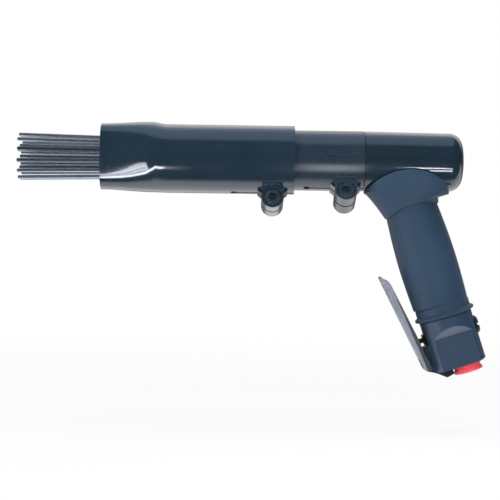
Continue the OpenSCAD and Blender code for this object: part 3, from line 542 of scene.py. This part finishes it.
def weld_bead(name, r, x, roll, side, finish):
    """One rippled run of weld along the edge of a lug's pad, tapered at both ends."""
    turn = Matrix.Rotation(-roll, 3, "X")
    centres = [
        Vector((x + at.x, side * at.y, -math.sqrt(r * r - at.y * at.y)))
        for at in evenly(pad_outline(r), BEAD_STEPS)
    ]
    rings = []
    for i, centre in enumerate(centres):
        ahead = (centres[min(i + 4, BEAD_STEPS)] - centres[max(i - 4, 0)]).normalized()
        out = Vector((0, centre.y, centre.z)).normalized()
        sideways = ahead.cross(out)
        ripple = 1 + 0.16 * math.sin(1.1 * i) + 0.09 * math.sin(0.31 * i + 1)
        size = BEAD_R * ripple * min(1, 0.4 + 0.1 * min(i, BEAD_STEPS - i))
        rings.append([
            BARREL + turn @ (centre + (sideways * math.cos(a) + out * 0.8 * math.sin(a)) * size)
            for a in round_about(BEAD_SIDES)
        ])
    return mesh_piece(name, *swept(rings), finish)


for tag, side in (("near", -1), ("far", 1)):
    front_bead = weld_bead("front_lug_weld_" + tag, TUBE_R, FRONT_LUG_X, FRONT_ROLL, side, "black_paint")
    rear_bead = weld_bead("rear_lug_weld_" + tag, HOUSING_R, REAR_LUG_X, REAR_ROLL, side, "housing_steel")
    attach(front_bead, "front_tube")
    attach(rear_bead, "handle")


# Stage
def pale_floor():
    """Matt white floor that keeps the shadow. Mirrored in the tool it is dark near the front and far back."""
    paper = bpy.data.materials.new("pale_floor")
    paper.use_nodes = True
    paper.node_tree.nodes.clear()
    spot = node(paper, "TexCoord").outputs["Object"]
    rays = node(paper, "LightPath")
    matt = node(paper, "BsdfDiffuse", {"Color": (0.86, 0.86, 0.865, 1), "Roughness": 0.4})
    white = node(paper, "Emission", {"Color": (1, 1, 1, 1), "Strength": 1.0})
    reach = node(paper, "VectorMath", {0: spot}, operation="LENGTH").outputs["Value"]
    fade = spread(paper, reach, 0.15, 1.2, 0.82, 1.0)
    seen = node(paper, "MixShader", {
        0: product(paper, rays.outputs["Is Camera Ray"], fade), 1: matt.outputs[0], 2: white.outputs[0],
    })
    depth = node(paper, "SeparateXYZ", {0: spot}).outputs["Y"]
    near = spread(paper, depth, -0.072, -0.02, 0.03, 1.0)
    far = spread(paper, depth, 0.35, 0.65, 1.0, 0.2)
    glow = product(paper, near, far)
    mirrored = node(paper, "Emission", {"Color": (1, 0.98, 1, 1), "Strength": glow})
    surface = node(paper, "MixShader", {
        0: rays.outputs["Is Glossy Ray"], 1: seen.outputs[0], 2: mirrored.outputs[0],
    })
    node(paper, "OutputMaterial", {"Surface": surface.outputs[0]})
    return paper


def studio():
    """White to the camera. It lights and mirrors as a pale wall behind the tool and a cool patch overhead."""
    world = bpy.data.worlds.new("studio")
    world.use_nodes = True
    world.node_tree.nodes.clear()
    sky = node(world, "SeparateXYZ", {0: node(world, "TexCoord").outputs["Generated"]})
    wall = spread(world, sky.outputs["Y"], 0.3, 0.58, 0.03, 0.95)
    rise = spread(world, sky.outputs["Z"], 0.28, 0.45, 0.2, 1.0)
    over = spread(world, sky.outputs["Z"], 0.875, 0.93, 0.0, 0.58)
    level = total(world, product(world, wall, rise), over)
    height = spread(world, sky.outputs["Z"], 0.8, 0.93)
    tint = blend_colours(world, height, (0.96, 0.94, 1.0), (0.62, 0.76, 1.0))
    dim = node(world, "Background", {"Color": tint, "Strength": level})
    bright = node(world, "Background", {"Color": (1, 1, 1, 1), "Strength": 1.0})
    camera_ray = node(world, "LightPath").outputs["Is Camera Ray"]
    shown = node(world, "MixShader", {0: camera_ray, 1: dim.outputs[0], 2: bright.outputs[0]})
    node(world, "OutputWorld", {"Surface": shown.outputs[0]})
    return world


scene = bpy.context.scene
scene.world = studio()
floor_mesh = bpy.data.meshes.new("floor")
rim = [(FLOOR_R * math.cos(a), FLOOR_R * math.sin(a), 0) for a in round_about(FLOOR_SIDES)]
floor_mesh.from_pydata(rim, [], [tuple(range(FLOOR_SIDES))])
floor_mesh.materials.append(pale_floor())
floor = bpy.data.objects.new("floor", floor_mesh)
floor.location = (FLOOR_X, 0, cad_box[0].z - FLOOR_DROP)
scene.collection.objects.link(floor)


# Light
def area_light(name, at, aim, size, power, colour, shine, roll=0.0, beam=180.0):
    """A rectangular light that acts on reflections alone, or on everything but reflections."""
    data = bpy.data.lights.new(name, "AREA")
    data.shape = "RECTANGLE"
    data.size, data.size_y = size
    data.energy = power
    data.spread = math.radians(beam)
    data.color = colour
    lamp = bpy.data.objects.new(name, data)
    lamp.location = at
    towards = (Vector(aim) - Vector(at)).to_track_quat("-Z", "Y").to_matrix()
    lamp.rotation_euler = (towards @ Matrix.Rotation(math.radians(roll), 3, "Z")).to_euler()
    lamp.visible_camera = False
    lamp.visible_glossy = shine
    lamp.visible_diffuse = not shine
    scene.collection.objects.link(lamp)


def fill(name, at, aim, size, power):
    area_light(name, at, aim, size, power, (1, 1, 1), False)


def card(name, at, aim, size, power, roll=0.0, beam=180.0):
    area_light(name, at, aim, size, power, (0.87, 0.91, 1.0), True, roll, beam)


fill("top_softbox", (-0.1, -0.25, 1.2), (-0.1, 0, 0), (1.4, 0.9), 9.0)
fill("front_fill", (0.1, -1.3, 0.6), (-0.05, 0, 0.0), (0.9, 0.6), 4.0)
fill("left_fill", (-0.9, -0.9, 0.25), (-0.05, 0, 0.0), (0.5, 0.6), 5.2)
fill("right_fill", (0.75, -1.05, 0.3), (-0.02, 0, 0.0), (0.5, 0.6), 1.0)
fill("back_fill", (-0.1, 1.1, 0.5), (-0.05, 0, 0.0), (0.9, 0.6), 3.0)
fill("cap_fill", (0.1, -0.5, -0.02), (0.03, 0, -0.076), (0.15, 0.08), 0.75)

# Points that the cards aim at
HOUSING_SIDE = (-0.079, -0.022, 0.073)
BACKHEAD_SIDE = (0.005, -0.0212, 0.073)
NOSE_SIDE = (-0.232, -0.02, 0.07)
VALVE_SIDE = (0.002, -0.016, -0.047)

card("housing_card", (-0.064, -0.2106, -0.04), HOUSING_SIDE, (0.05, 0.115), 0.0062, beam=60)
card("backhead_card_high", (0.0475, -0.236, -0.034), BACKHEAD_SIDE, (0.075, 0.0115), 0.0031, beam=50)
card("backhead_card_low", (0.055, -0.21, -0.075), BACKHEAD_SIDE, (0.05, 0.022), 0.0031, beam=50)
card("nose_card_high", (-0.319, -0.1996, -0.022), NOSE_SIDE, (0.0135, 0.125), 0.0052, 21.3, 60)
card("nose_card_low", (-0.333, -0.19, -0.028), NOSE_SIDE, (0.0135, 0.125), 0.0052, 21.3, 60)
card("valve_card_left", (-0.26, -0.19, -0.075), VALVE_SIDE, (0.14, 0.04), 0.22)

# Camera, level with the tool and square to its side
camera_data = bpy.data.cameras.new("camera")
camera_data.angle = 2 * math.atan(CAMERA_HALF_VIEW / -CAMERA_AT[1])
camera = bpy.data.objects.new("camera", camera_data)
camera.location = CAMERA_AT
level_view = Euler((math.pi / 2, 0, 0)).to_matrix()
camera.rotation_euler = (level_view @ Matrix.Rotation(CAMERA_ROLL, 3, "Z")).to_euler()
scene.collection.objects.link(camera)
scene.camera = camera
scene.view_settings.view_transform = "Standard"

bpy.context.view_layer.update()
